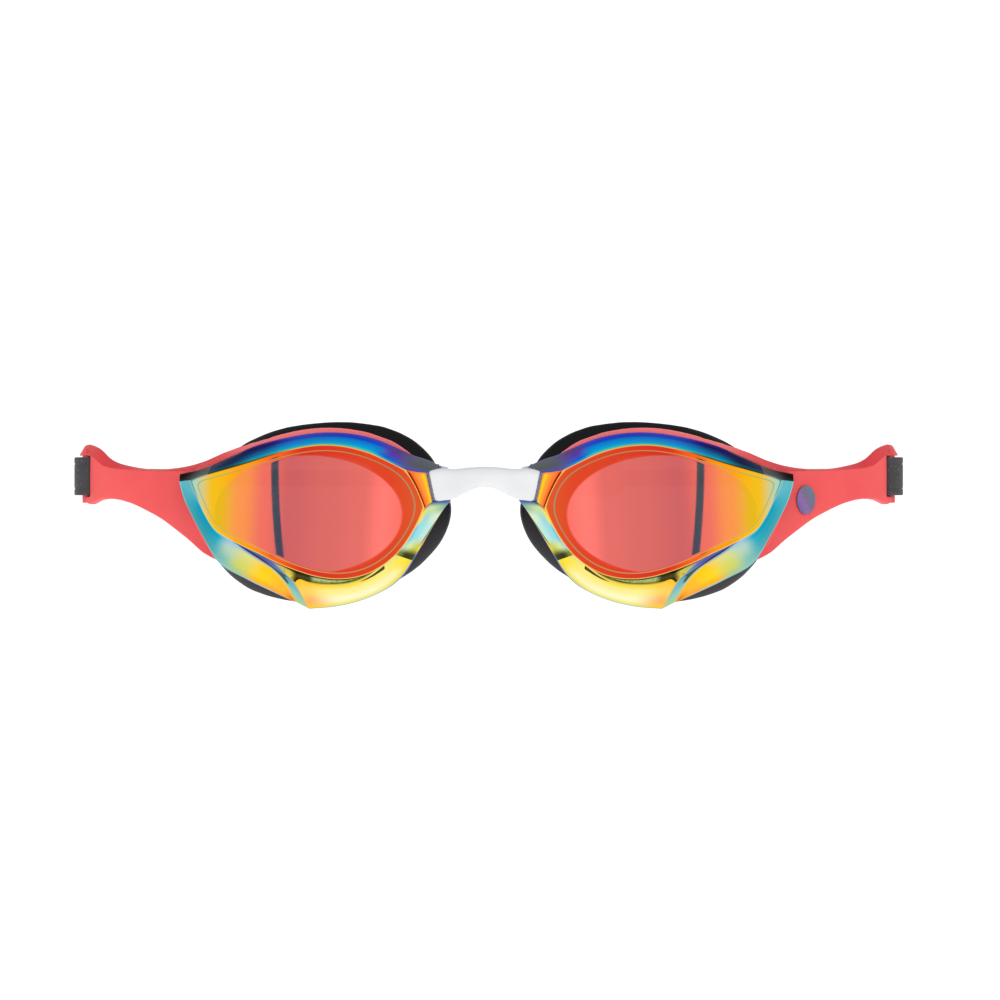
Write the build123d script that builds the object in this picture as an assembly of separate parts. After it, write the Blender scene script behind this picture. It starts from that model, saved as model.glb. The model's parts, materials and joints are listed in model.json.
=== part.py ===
from build123d import *
import math
import os

# Racing swim goggles: two mirrored eyepieces on a clip-in nose bridge, with swept-back side arms,
# soft eye gaskets, and a strap of two folded halves that lie in layers through a rear clip.
#
# Frame: millimetres, +Z up, the goggles look along -Y. The origin lies on the middle plane, at pupil
# height, on the face plane that the nose side of both gaskets touches. Left and right are the
# swimmer's own, so the left eyepiece is on +X. Every eyepiece piece is modelled on +X and mirrored.
# Pod outlines are drawn as seen from the front and laid on planes that sweep back with the wrap angle.

# ---- driving dimensions -------------------------------------------------------------------
bridge_gap = 13.2          # clear width between the two lens bodies
lens_width = 56.6          # one lens body, seen from the front
lens_height = 36.8
wrap_angle = 18.0          # sweep-back of each eyepiece about the vertical
pod_depth = 17.5           # lens window plane to the face, at the nose side
lens_crown_radius = 70.0   # sphere that the window is crowned to
window_rise = 2.0          # how far the window block stands in front of its edge plane
skirt_depth = 5.0          # fall from the window edge plane back to the skirt edge
lens_wall = 1.8
frame_depth = 9.0          # window edge plane to the front of the frame ring
frame_thickness = 2.5
gasket_lip = 4.0           # width of the soft lip on the face
gasket_flare = 16.0        # depth at which the gasket reaches its full outline
face_radius = 150.0        # hollow of the gasket rim, about a vertical axis

arm_thickness = 2.4
arm_start_angle = 25.0     # arm direction at the lens, from the X axis
arm_end_angle = 62.0
arm_straight = 14.2
arm_bend_radius = 33.4
arm_root_inset = 7.2       # arm start, inboard of the lens's temple edge
arm_neck_height = 7.2
arm_flare_height = 11.7
arm_height_z = 6.0         # height of the strap bar's middle above the pupils

bar_diameter = 2.6
strap_thickness = 1.3
strap_height = 8.0
strap_clearance = 0.35     # strap to bar and strap to slot
rail_clearance = 0.5       # strap edge to the slot's top and bottom rails

strap_rear_height = 3.8
taper_start = 14.0         # strap stays full height this far behind the bar
taper_length = 30.0
shoulder_run = 56.0        # bar to the shoulder of the loop
shoulder_bulge = 0.6
corner_share = 0.69        # rear corner's place, as a share of the bar's distance from the middle
loop_back_y = 131.0        # middle of the outermost strap layer behind the head
layer_gap = 0.4            # between strap layers where they run side by side
tail_length = 12.0         # each strap's tail past the middle of the clip
clip_x = 21.0              # the clip sits to one side, off the bony back of the head

clip_width = 16.0
clip_wall = 0.9
clip_corner = 2.4
clip_clearance = 0.35
tongue_width = 9.0
tongue_thickness = 0.7
tongue_depth = 4.0
tongue_clearance = 0.1

flex_pivot_x = 9.2         # bridge barrel axis
flex_pivot_y = -13.0
barrel_radius = 1.5
bridge_clearance = 0.5
bridge_thickness = 3.0
bridge_top_z = 7.8
bridge_low_z = 0.9
bridge_arch_z = 3.9        # underside of the bridge at the middle plane
bridge_end_reach = 2.3     # bridge end past the barrel axis
bridge_end_slant = 1.2
bridge_bow = 2.5           # how far the bridge bows forward at the middle

badge_length = 6.0
badge_width = 4.2
badge_thickness = 0.8
badge_recess = 0.4
badge_along = 10.6         # badge middle along the arm's straight run
badge_z = 1.0

# ---- values worked out from them ----------------------------------------------------------
slope = math.tan(math.radians(wrap_angle))
lens_nose_x = bridge_gap / 2
lens_temple_x = lens_nose_x + lens_width
gasket_nose_x = lens_nose_x + 0.8
window_y = -pod_depth - gasket_nose_x * slope
frame_back = frame_depth + frame_thickness
far = 60.0                 # reach of a cutting solid, well past the part
middle_u, middle_v = 0.5, -0.08      # middle of the lens outline, in lens sizes


def sheet_y(x, depth):
    """Y of the swept-back plane that lies depth behind the window edge plane."""
    return window_y + x * slope + depth


def spot(u, v, depth=0.0, inset=0.0):
    """A point of an eyepiece outline: u across the lens from the nose, v up, in lens sizes.

    An inset draws the point in towards the outline's middle, by that much at the outline's ends.
    """
    u = middle_u + (u - middle_u) * (1 - 2 * inset / lens_width)
    v = middle_v + (v - middle_v) * (1 - 2 * inset / lens_height)
    x = lens_nose_x + u * lens_width
    return Vector(x, sheet_y(x, depth), v * lens_height)


def outline(runs, depth, inset=0.0):
    """A flat face on a swept-back plane, bounded by splines through each run's points."""
    edges = []
    for run in runs:
        points = [spot(u, v, depth, inset) for u, v in run]
        edges.append(Line(*points) if len(points) == 2 else Spline(*points))
    return make_face(Wire(edges))


def closed_outline(points, depth, inset=0.0):
    """A flat face on a swept-back plane, bounded by one smooth closed spline."""
    return make_face(Wire([Spline(*[spot(u, v, depth, inset) for u, v in points], periodic=True)]))


def prism(face, depth):
    """The face carried straight back by depth."""
    return extrude(face, depth, dir=(0, 1, 0))


# ---- outlines, as shares of lens width and height -----------------------------------------
WINDOW = [
    [(0.935, 0.152), (0.675, 0.288), (0.413, 0.348), (0.286, 0.313), (0.173, 0.152)],
    [(0.173, 0.152), (0.133, -0.005), (0.173, -0.193)],
    [(0.173, -0.193), (0.288, -0.326), (0.42, -0.386), (0.58, -0.325)],
    [(0.58, -0.325), (0.869, -0.133)],
    [(0.869, -0.133), (0.913, -0.01), (0.935, 0.152)],
]
SKIRT = [
    [(1.0, 0.182), (0.872, 0.234), (0.779, 0.323), (0.588, 0.397), (0.413, 0.418), (0.22, 0.345), (0.0, 0.209)],
    [(0.0, 0.209), (0.0, 0.027)],
    [(0.0, 0.027), (0.07, -0.12), (0.136, -0.285), (0.208, -0.435), (0.348, -0.541), (0.523, -0.582)],
    [(0.523, -0.582), (0.592, -0.541), (0.862, -0.318)],
    [(0.862, -0.318), (0.953, -0.052), (1.0, 0.139)],
    [(1.0, 0.139), (1.0, 0.182)],
]
RING = [
    (0.767, 0.348), (0.6, 0.418), (0.45, 0.435), (0.3, 0.39), (0.164, 0.3), (0.075, 0.136),
    (0.06, -0.03), (0.104, -0.217), (0.201, -0.38), (0.36, -0.489), (0.555, -0.503),
    (0.731, -0.394), (0.855, -0.245), (0.93, -0.02), (0.9, 0.2),
]
APERTURE = [
    (0.18, -0.04), (0.29, 0.19), (0.484, 0.291), (0.7, 0.22), (0.862, -0.04), (0.7, -0.26),
    (0.467, -0.367), (0.27, -0.27),
]
FACE_RIM = [
    (0.014, -0.05), (0.127, 0.312), (0.288, 0.435), (0.436, 0.462), (0.638, 0.435), (0.78, 0.355),
    (0.9, 0.163), (0.943, -0.082), (0.852, -0.391), (0.726, -0.492), (0.555, -0.538),
    (0.343, -0.476), (0.134, -0.337), (0.055, -0.236),
]


# ---- eyepiece -----------------------------------------------------------------------------
def centre_behind(nose, temple, radius):
    """Centre of the circle of this radius through two points of the wrap, on the head side."""
    half_chord = (temple - nose).length / 2
    angle = math.radians(wrap_angle)
    back = math.sqrt(radius**2 - half_chord**2)
    return (nose + temple) / 2 + Vector(-math.sin(angle), math.cos(angle), 0) * back


def crown_ball(radius_change=0.0):
    """The ball whose front cap the window is crowned to, touching both ends of the window."""
    centre = centre_behind(spot(0.133, 0), spot(0.935, 0), lens_crown_radius)
    return Pos(*centre) * Sphere(lens_crown_radius + radius_change)


def lens_block():
    """The solid outer shape of the lens body, before it is hollowed."""
    bevel = loft([outline(WINDOW, -window_rise), outline(SKIRT, skirt_depth)], ruled=True)
    wall = prism(outline(SKIRT, skirt_depth), frame_depth - skirt_depth)
    cap = prism(outline(WINDOW, -3 * window_rise), 2 * window_rise)
    return bevel + wall + cap


def lens():
    """Mirrored lens body: crowned window, swept bevels, hollow behind, pocket for the bridge."""
    block = lens_block()
    inner = prism(outline(SKIRT, -far, lens_wall), 2 * far) & (Pos(0, lens_wall, 0) * block)
    lug_x = flex_pivot_x + barrel_radius + 2 * bridge_clearance + lens_wall
    inner -= Pos(lug_x - far / 2, 0, 0) * Box(far, 2 * far, far)
    back = prism(outline(SKIRT, frame_depth), far)
    body = (block & crown_ball()) - (inner & crown_ball(-lens_wall)) - back
    return body - bridge_room()


def gasket_flare_solid(root_face, rim_face):
    """Loft from the frame to the face outline, carried on past the rim."""
    return loft([root_face, rim_face], ruled=True) + prism(rim_face, far / 4)


def gasket():
    """Soft seal: a flared cup from the frame to the hollowed rim that rests on the face."""
    rim = closed_outline(FACE_RIM, gasket_flare)
    lip = closed_outline(FACE_RIM, gasket_flare, gasket_lip)
    outer = gasket_flare_solid(closed_outline(RING, frame_back), rim)
    inner = gasket_flare_solid(closed_outline(APERTURE, frame_back), lip)
    nose, temple = FACE_RIM[0][0], FACE_RIM[7][0]
    centre = centre_behind(spot(nose, 0, pod_depth), spot(temple, 0, pod_depth), face_radius)
    head = Pos(*centre) * Cylinder(face_radius, far)
    return outer - inner - head


# ---- side arm and frame -------------------------------------------------------------------
def heading(angle):
    """Unit vector in the XY plane at an angle from the X axis."""
    return Vector(math.cos(math.radians(angle)), math.sin(math.radians(angle)), 0)


arm_root_x = lens_temple_x - arm_root_inset
arm_root = Vector(arm_root_x, sheet_y(arm_root_x, frame_depth + frame_thickness / 2), 0)
bend_start = arm_root + heading(arm_start_angle) * arm_straight
bend_centre = bend_start + heading(arm_start_angle + 90) * arm_bend_radius
bar_centre = bend_centre + heading(arm_end_angle - 90) * arm_bend_radius
strap_inner_radius = bar_diameter / 2 + strap_clearance
strap_mid_radius = strap_inner_radius + strap_thickness / 2
slot_reach = strap_inner_radius + strap_thickness + strap_clearance
bar_reach = bar_centre.X - lens_temple_x


def arm_path():
    """Middle line of the arm seen from above: a straight run, then one bend back to the strap bar."""
    middle = bend_centre + heading((arm_start_angle + arm_end_angle) / 2 - 90) * arm_bend_radius
    return Wire([Line(arm_root, bend_start), ThreePointArc(bend_start, middle, bar_centre)])


def arm_side_shape():
    """The arm seen from the front: deep at the lens, a neck, then a flared end round the strap."""
    flare = arm_flare_height / 2
    neck = arm_neck_height / 2
    end_x = bar_centre.X + bar_diameter
    root_x = arm_root_x - arm_root_inset

    def at(share, z):
        return Vector(lens_temple_x + share * bar_reach, 0, z)

    top = [
        Vector(root_x, 0, 0.33 * lens_height), at(-0.4, 0.29 * lens_height), at(-0.12, 0.24 * lens_height),
        at(0.3, arm_height_z + 0.45 * neck), at(0.57, arm_height_z + 0.55 * neck),
        at(0.8, arm_height_z + 0.72 * flare), at(0.92, arm_height_z + flare), Vector(end_x, 0, arm_height_z + flare),
    ]
    low = [
        Vector(end_x, 0, arm_height_z - flare), at(0.93, arm_height_z - flare), at(0.75, arm_height_z - 0.84 * flare),
        at(0.5, arm_height_z - 1.55 * neck), at(0.17, arm_height_z - 2.3 * neck),
        at(-0.2, -0.23 * lens_height), at(-0.41, -0.318 * lens_height), Vector(root_x, 0, -0.318 * lens_height),
    ]
    edges = [Spline(*top[:-1]), Line(*top[-2:]), Line(top[-1], low[0])]
    edges += [Line(*low[:2]), Spline(*low[1:-1]), Line(*low[-2:]), Line(low[-1], top[0])]
    return make_face(Wire(edges))


def arm():
    """Swept-back side arm with the strap slot cut through its flared end and a round strap bar."""
    section = Plane(origin=arm_root, x_dir=heading(arm_start_angle + 90), z_dir=heading(arm_start_angle))
    band = sweep(section * Rectangle(arm_thickness, far), path=arm_path())
    blade = band & prism(Pos(0, -far, 0) * arm_side_shape(), 3 * far)
    slot_height = strap_height + 2 * rail_clearance
    end_frame = Plane(origin=bar_centre + Vector(0, 0, arm_height_z), x_dir=heading(arm_end_angle), z_dir=(0, 0, 1))
    slot = end_frame * Pos(-slot_reach / 2, 0, 0) * Box(slot_reach, far / 4, slot_height)
    bar = Pos(*bar_centre) * Pos(0, 0, arm_height_z) * Cylinder(bar_diameter / 2, arm_flare_height)
    return blade - slot + bar


def frame_ring():
    """Ring that carries the gasket and the lens, open over the eye."""
    ring = closed_outline(RING, frame_depth) - closed_outline(APERTURE, frame_depth)
    return prism(ring, frame_thickness)


def side_frame(seal):
    """Frame ring and side arm as one moulding, with the arm cut back round the gasket's root."""
    return frame_ring() + (arm() - prism(closed_outline(APERTURE, 0), far) - seal)


# ---- nose bridge --------------------------------------------------------------------------
def bridge_side_shape(grow=0.0):
    """Half of the bridge seen from the front, from the middle plane to its end in the lens pocket."""
    end_x = flex_pivot_x + bridge_end_reach + grow
    points = {
        "top_middle": Vector(0, 0, bridge_top_z + grow),
        "top_dip": Vector(0.4 * lens_nose_x, 0, bridge_top_z - 0.4 + grow),
        "top_end": Vector(end_x, 0, bridge_top_z - 0.4 + grow),
        "low_end": Vector(end_x - bridge_end_slant, 0, bridge_low_z - grow),
        "low_root": Vector(lens_nose_x, 0, bridge_low_z - grow),
        "low_middle": Vector(0, 0, bridge_arch_z - grow),
    }
    top = Spline(points["top_middle"], points["top_dip"], points["top_end"])
    arch = Spline(
        points["low_root"], points["low_middle"], tangents=[Vector(-2, 0, 1.6), Vector(-1, 0, 0)]
    )
    edges = [
        top,
        Line(points["top_end"], points["low_end"]),
        Line(points["low_end"], points["low_root"]),
        arch,
        Line(points["low_middle"], points["top_middle"]),
    ]
    return make_face(Wire(edges))


def bridge_plan(grow=0.0):
    """The bridge seen from above: bowed forward, with a round barrel at the end."""
    end_x = flex_pivot_x + bridge_end_reach + grow
    front, back = -grow, bridge_thickness + grow
    tip = flex_pivot_y - bridge_thickness / 2
    crest = tip - bridge_bow
    rear_x = flex_pivot_x
    end_y = flex_pivot_y + grow
    face = make_face(
        Wire(
            [
                Spline(Vector(0, crest + front), Vector(lens_nose_x, tip - 0.3 + front), Vector(end_x, tip + front)),
                Line(Vector(end_x, tip + front), Vector(end_x, end_y)),
                Line(Vector(end_x, end_y), Vector(rear_x, end_y)),
                Line(Vector(rear_x, end_y), Vector(rear_x, tip + back)),
                Spline(Vector(rear_x, tip + back), Vector(lens_nose_x - 1, tip + back - 0.8), Vector(0, crest + back)),
                Line(Vector(0, crest + back), Vector(0, crest + front)),
            ]
        )
    )
    barrel = Pos(flex_pivot_x, flex_pivot_y) * Circle(barrel_radius + grow)
    return face + barrel


def half_bridge(grow=0.0):
    """Half of the nose bridge, or with grow the room that it needs."""
    tall = Pos(0, 0, -far / 2) * extrude(bridge_plan(grow), far)
    return tall & prism(Pos(0, -far, 0) * bridge_side_shape(grow), 2 * far)


def bridge_room():
    """The pocket in the lens body, open at the front, that one bridge end clips into."""
    mouth = half_bridge(bridge_clearance)
    return mouth + Pos(0, -bridge_thickness / 2, 0) * mouth


def nose_bridge():
    """Clip-in bridge with a round barrel at each end, on which the eyepieces flex."""
    half = half_bridge()
    return half + mirror(half, about=Plane.YZ)


# ---- strap --------------------------------------------------------------------------------
layer_pitch = strap_thickness + layer_gap


def layer_path(depth, start_x, end_x):
    """One strap layer from above: back from the bar, round the head, straight across at the rear.

    Depth is how far inside the outermost layer it lies, once the layers run side by side.
    """
    shoulder = Vector(bar_centre.X + strap_mid_radius + shoulder_bulge, bar_centre.Y + shoulder_run)
    corner = Vector(corner_share * bar_centre.X, loop_back_y)
    run = (corner - shoulder).normalized()
    inward = Vector(-run.Y, run.X)
    rear_turn = math.radians(run.get_angle(Vector(-1, 0)))
    points = [
        Vector(start_x, bar_centre.Y),
        shoulder + inward * depth,
        corner + (inward + Vector(0, -1)) * (depth / (1 + math.cos(rear_turn))),
        Vector(end_x, loop_back_y - depth),
    ]
    shoulder_turn = math.radians((points[1] - points[0]).get_angle(run))
    shoulder_radius = 0.45 * shoulder_run / math.tan(shoulder_turn / 2)
    rear_radius = 0.45 * (corner - shoulder).length / math.tan(rear_turn / 2) - depth
    return FilletPolyline(*points, radius=[shoulder_radius, rear_radius])


def layer_band(path):
    """A tall wall of strap thickness along a layer's path."""
    section = Plane(origin=path @ 0, x_dir=(1, 0, 0), z_dir=path % 0)
    return sweep(section * Rectangle(strap_thickness, 2 * far), path=Wire(path.edges()))


def strap_side():
    """The strap seen from the side: full height at the bar, narrower round the head."""
    taper_y = bar_centre.Y + taper_start
    narrow_y = taper_y + taper_length
    end_y = loop_back_y + far / 4
    wide, narrow = strap_height / 2, strap_rear_height / 2
    upper = [(bar_centre.Y, wide), (taper_y, wide), (narrow_y, narrow), (end_y, narrow)]
    lower = [(y, -half) for y, half in reversed(upper)]
    return make_face(Polyline(*[(0, y, arm_height_z + z) for y, z in upper + lower], close=True))


def strap(first_layer, clip_middle):
    """One half of the strap, folded round its arm's bar, as two layers that run back to the clip.

    Clip_middle is how far the clip's middle lies from the middle plane, towards this strap's arm.
    """
    end_x = clip_middle - tail_length
    side = extrude(Pos(-far, 0, 0) * strap_side(), 3 * far, dir=(1, 0, 0))
    outer = layer_path(first_layer * layer_pitch, bar_centre.X + strap_mid_radius, end_x)
    inner = layer_path((first_layer + 1) * layer_pitch, bar_centre.X - strap_mid_radius, end_x)
    layers = (layer_band(outer) + layer_band(inner)) & side
    ring = Cylinder(strap_inner_radius + strap_thickness, strap_height) - Cylinder(strap_inner_radius, strap_height)
    fold = ring - Pos(0, far / 2, 0) * Box(far, far, far)
    return layers + Pos(bar_centre.X, bar_centre.Y, arm_height_z) * fold


# ---- rear clip ----------------------------------------------------------------------------
clip_layers = 4
channel_back_y = loop_back_y + strap_thickness / 2 + clip_clearance
channel_front_y = loop_back_y - (clip_layers - 1) * layer_pitch - strap_thickness / 2 - clip_clearance
channel_height = strap_rear_height + 2 * clip_clearance


def clip_slab(y_from, y_to, width, height, corner):
    """A rounded slab, square to Y, between two depths."""
    plane = Plane(origin=(clip_x, y_from, arm_height_z), x_dir=(1, 0, 0), z_dir=(0, 1, 0))
    return extrude(plane * RectangleRounded(width, height, corner), y_to - y_from)


def clip_tongues(grow=0.0):
    """Two tongues that join the clip's halves, one above and one below the strap."""
    tongue_y = channel_back_y - tongue_depth - grow
    plane = Plane(origin=(clip_x, tongue_y, arm_height_z), x_dir=(1, 0, 0), z_dir=(0, 1, 0))
    middle = channel_height / 2 + clip_wall
    size = (tongue_width + 2 * grow, tongue_thickness + 2 * grow)
    return [extrude(plane * Pos(0, z) * Rectangle(*size), tongue_depth + grow) for z in (middle, -middle)]


def rear_clip_base():
    """Trough on the head side that the strap layers lie in, with a slot for each tongue."""
    height = channel_height + 4 * clip_wall
    base = clip_slab(channel_front_y - clip_wall, channel_back_y, clip_width, height, clip_corner)
    middle_y = (channel_front_y + channel_back_y) / 2
    base -= Pos(0, middle_y, arm_height_z) * Box(far, channel_back_y - channel_front_y, channel_height)
    for tongue in clip_tongues(tongue_clearance):
        base -= tongue
    return base


def rear_clip_cover():
    """Outer plate that closes the trough, with a tongue pressed into each of the base's slots."""
    height = channel_height + 4 * clip_wall
    cover = clip_slab(channel_back_y, channel_back_y + clip_wall, clip_width, height, clip_corner)
    cover = fillet(cover.edges().group_by(Axis.Y)[-1], clip_wall / 2)
    for tongue in clip_tongues():
        cover += tongue
    return cover


# ---- badge --------------------------------------------------------------------------------
def badge():
    """Plain oval badge let into the outer face of the left arm."""
    middle = arm_root + heading(arm_start_angle) * badge_along
    out = heading(arm_start_angle - 90)
    seat = middle + out * (arm_thickness / 2 - badge_recess) + Vector(0, 0, badge_z)
    plane = Plane(origin=seat, x_dir=heading(arm_start_angle), z_dir=out)
    oval = plane * Ellipse(badge_width / 2, badge_length / 2)
    return extrude(oval, badge_thickness)


def mirrored(piece):
    """The right-hand copy of a piece made on the left."""
    return mirror(piece, about=Plane.YZ)


def build():
    """Every piece of the goggles by name."""
    lens_body, seal = lens(), gasket()
    moulding = side_frame(seal)
    return {
        "nose_bridge": nose_bridge(),
        "left_lens": lens_body,
        "right_lens": mirrored(lens_body),
        "left_gasket": seal,
        "right_gasket": mirrored(seal),
        "left_frame": moulding - badge(),
        "right_frame": mirrored(moulding),
        "arm_badge": badge(),
        "left_strap": strap(first_layer=2, clip_middle=clip_x),
        "right_strap": mirrored(strap(first_layer=0, clip_middle=-clip_x)),
        "rear_clip_base": rear_clip_base(),
        "rear_clip_cover": rear_clip_cover(),
    }


if __name__ == "__main__":
    os.makedirs("parts", exist_ok=True)
    for name, piece in build().items():
        piece.label = name
        export_step(piece, f"parts/{name}.step")
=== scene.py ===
import json
import math

import bmesh
import bpy
from mathutils import Matrix, Vector


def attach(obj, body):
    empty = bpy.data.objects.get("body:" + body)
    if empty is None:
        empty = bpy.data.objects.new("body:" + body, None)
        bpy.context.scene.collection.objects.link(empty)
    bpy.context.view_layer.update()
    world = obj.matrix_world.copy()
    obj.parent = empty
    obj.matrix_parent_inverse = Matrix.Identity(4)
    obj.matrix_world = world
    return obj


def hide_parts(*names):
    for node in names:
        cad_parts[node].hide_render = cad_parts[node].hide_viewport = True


# Looks of racing swim goggles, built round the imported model.
#
# Shapes are drawn in millimetres in the goggles' own frame: +Z up, +X to the swimmer's left, and the
# lenses look along -Y. Every eyepiece piece is made on +X, and its twin is mirrored to -X.

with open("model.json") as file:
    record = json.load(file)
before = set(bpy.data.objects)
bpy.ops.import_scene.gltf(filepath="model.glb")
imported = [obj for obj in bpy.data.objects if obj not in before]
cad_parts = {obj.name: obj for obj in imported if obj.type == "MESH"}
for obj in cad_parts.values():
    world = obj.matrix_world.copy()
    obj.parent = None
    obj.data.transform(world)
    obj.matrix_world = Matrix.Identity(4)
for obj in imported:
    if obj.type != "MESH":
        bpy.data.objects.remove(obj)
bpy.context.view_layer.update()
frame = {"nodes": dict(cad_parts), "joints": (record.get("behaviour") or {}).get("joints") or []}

MM = 0.001
SLOPE = math.tan(math.radians(18))  # sweep-back of each eyepiece
WINDOW_Y = -19.904  # swept window plane where it crosses the middle plane
CROWN_RADIUS = 70.0
CROWN_CENTRE = (16.47, 54.65)  # X and Y of the ball that the window is crowned to
SKIRT_DEPTH = 5.0  # window plane to the front of the lens edge
BACK_DEPTH = 9.0  # window plane to the back of the lens body
FRAME_BACK = 11.5  # window plane to the back of the frame ring
LENS_WALL = 0.8
EYE = (33.5, -1.5)  # middle of the eye opening


def joint_place(name):
    """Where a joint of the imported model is, in millimetres."""
    joint = next(j for j in frame["joints"] if j["name"] == name)
    return Vector(joint["pos_m"]) / MM


BAR = joint_place("left_strap_swing")


# ---- lines and grids ----
def slope_at(before, at, after):
    """Direction of a smooth line at one of its points, from the points on each side."""
    a, b = (at - before).length, (after - at).length
    return ((at - before) * (b / a) + (after - at) * (a / b)) / (a + b)


def evenly(points, count):
    """Count steps of the same length along a chain of close points."""
    reach = [0.0]
    for a, b in zip(points, points[1:]):
        reach.append(reach[-1] + (b - a).length)
    placed, k = [], 0
    for i in range(count + 1):
        goal = reach[-1] * i / count
        while k < len(points) - 2 and reach[k + 1] < goal:
            k += 1
        placed.append(points[k].lerp(points[k + 1], (goal - reach[k]) / (reach[k + 1] - reach[k])))
    return placed


def smooth_line(points, count, closed=False):
    """Count even steps along the smooth line through a few points."""
    knots = [Vector(p) for p in points]
    if closed:
        knots = knots[-1:] + knots + knots[:2]
    else:
        knots = [2 * knots[0] - knots[1]] + knots + [2 * knots[-1] - knots[-2]]
    chain = []
    for before, a, b, after in zip(knots, knots[1:], knots[2:], knots[3:]):
        span = (b - a).length
        leave, arrive = slope_at(before, a, b) * span, slope_at(a, b, after) * span
        for i in range(12):
            t = i / 12
            chain.append(
                a * (2 * t**3 - 3 * t**2 + 1) + leave * (t**3 - 2 * t**2 + t)
                + b * (3 * t**2 - 2 * t**3) + arrive * (t**3 - t**2)
            )
    chain.append(knots[-2])
    return evenly(chain, count)


def neighbours(line):
    """Each item of a closed line between the ones before and after it."""
    return zip(line[-1:] + line[:-1], line, line[1:] + line[:1])


def run_at(line, i):
    """Direction of an open line at one of its points."""
    return (line[min(i + 1, len(line) - 1)] - line[max(i - 1, 0)]).normalized()


def smooth_flat(points, count, closed=False):
    """A smooth line through pairs of numbers, as X and Y of its points."""
    return smooth_line([Vector((a, b, 0)) for a, b in points], count, closed)


def lay_grid(bm, rows, finish=0, across=None):
    """A grid of faces through rows of points. Its UV runs along the rows and then across them."""
    cols, count = len(rows[0]) - 1, len(rows) - 1
    across = across or [j / count for j in range(count + 1)]
    made = bmesh.ops.create_grid(bm, x_segments=cols, y_segments=count, size=1)["verts"]
    uv = bm.loops.layers.uv.verify()
    cell = {}
    for v in made:
        i, j = round((v.co.x + 1) / 2 * cols), round((v.co.y + 1) / 2 * count)
        cell[v] = (i / cols, across[j])
        v.co = rows[j][i]
    for face in {f for v in made for f in v.link_faces}:
        face.material_index = finish
        face.smooth = True
        for corner in face.loops:
            corner[uv].uv = cell[corner.vert]


def panel(bm, low, high, left, right, finish=0, swell=0.0):
    """A facet between four side lines: low and high run the same way, left and right join them."""
    cols, count = len(low) - 1, len(left) - 1
    rows = []
    for j in range(count + 1):
        v = j / count
        row = []
        for i in range(cols + 1):
            u = i / cols
            corners = (low[0] * (1 - u) + low[-1] * u) * (1 - v) + (high[0] * (1 - u) + high[-1] * u) * v
            point = low[i] * (1 - v) + high[i] * v + left[j] * (1 - u) + right[j] * u - corners
            point.y -= swell * 4 * v * (1 - v) * min(1.0, 8 * u * (1 - u))
            row.append(point)
        rows.append(row)
    lay_grid(bm, rows, finish)


def skin(bm, sections, finish=0, cap=True):
    """A closed skin over sections that each run once round a piece, with its ends closed."""
    lay_grid(bm, [ring + ring[:1] for ring in sections], finish)
    bmesh.ops.remove_doubles(bm, verts=bm.verts, dist=0.001)
    if cap:
        open_edges = [e for e in bm.edges if e.is_boundary]
        bmesh.ops.holes_fill(bm, edges=open_edges, sides=0)
    for face in bm.faces:
        face.smooth = True


def hoop(bm, loops, finish=0):
    """A closed ring whose section goes once round through the given loops."""
    lay_grid(bm, [loop + loop[:1] for loop in loops + loops[:1]], finish)
    bmesh.ops.remove_doubles(bm, verts=bm.verts, dist=0.001)


def face_out(bm):
    """Turns a shape's faces outwards."""
    bmesh.ops.recalc_face_normals(bm, faces=bm.faces)


def crease(bm, degrees):
    """Marks edges sharper than an angle, so that the facets shade apart."""
    for edge in bm.edges:
        edge.smooth = edge.calc_face_angle(0.0) < math.radians(degrees)


def mirrored(bm):
    """The twin of a piece on the other side of the middle plane."""
    twin = bm.copy()
    bmesh.ops.scale(twin, vec=(-1, 1, 1), verts=twin.verts)
    bmesh.ops.reverse_faces(twin, faces=twin.faces)
    return twin


def put(name, data):
    """A new object in the scene."""
    placed = bpy.data.objects.new(name, data)
    bpy.context.scene.collection.objects.link(placed)
    return placed


def new_piece(name, bm, finishes, body, nodes):
    """A finished mesh as an object that rides on a body and stands for its CAD nodes."""
    mesh = bpy.data.meshes.new(name)
    bmesh.ops.scale(bm, vec=(MM, MM, MM), verts=bm.verts)
    bm.to_mesh(mesh)
    bm.free()
    for finish in finishes:
        mesh.materials.append(finish)
    piece = put(name, mesh)
    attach(piece, body)
    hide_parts(*nodes)
    return piece


def pair(part, bm, finishes):
    """The left and right pieces of an eyepiece part."""
    twin = mirrored(bm)
    made = []
    for side, shape in (("left", bm), ("right", twin)):
        name = f"{side}_{part}_body"
        made.append(new_piece(name, shape, finishes, f"{side}_eyepiece", [f"{side}_{part}"]))
    return made


def add_modifier(piece, kind, **settings):
    """A modifier with its settings."""
    made = piece.modifiers.new(kind.lower(), kind)
    for key, value in settings.items():
        setattr(made, key, value)


def soften(piece, width, degrees=30, segments=2):
    """Rounds the edges of a piece that are sharper than an angle."""
    add_modifier(
        piece, "BEVEL", width=width * MM, segments=segments, limit_method="ANGLE",
        angle_limit=math.radians(degrees),
    )
    add_modifier(piece, "WEIGHTED_NORMAL", keep_sharp=False, weight=80)


# ---- shader maths ----
def srgb(red, green, blue):
    """A display colour, 0 to 255, as the linear colour that shaders take."""
    linear = []
    for part in (red / 255, green / 255, blue / 255):
        linear.append(part / 12.92 if part <= 0.04045 else ((part + 0.055) / 1.055) ** 2.4)
    return (*linear, 1.0)


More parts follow.
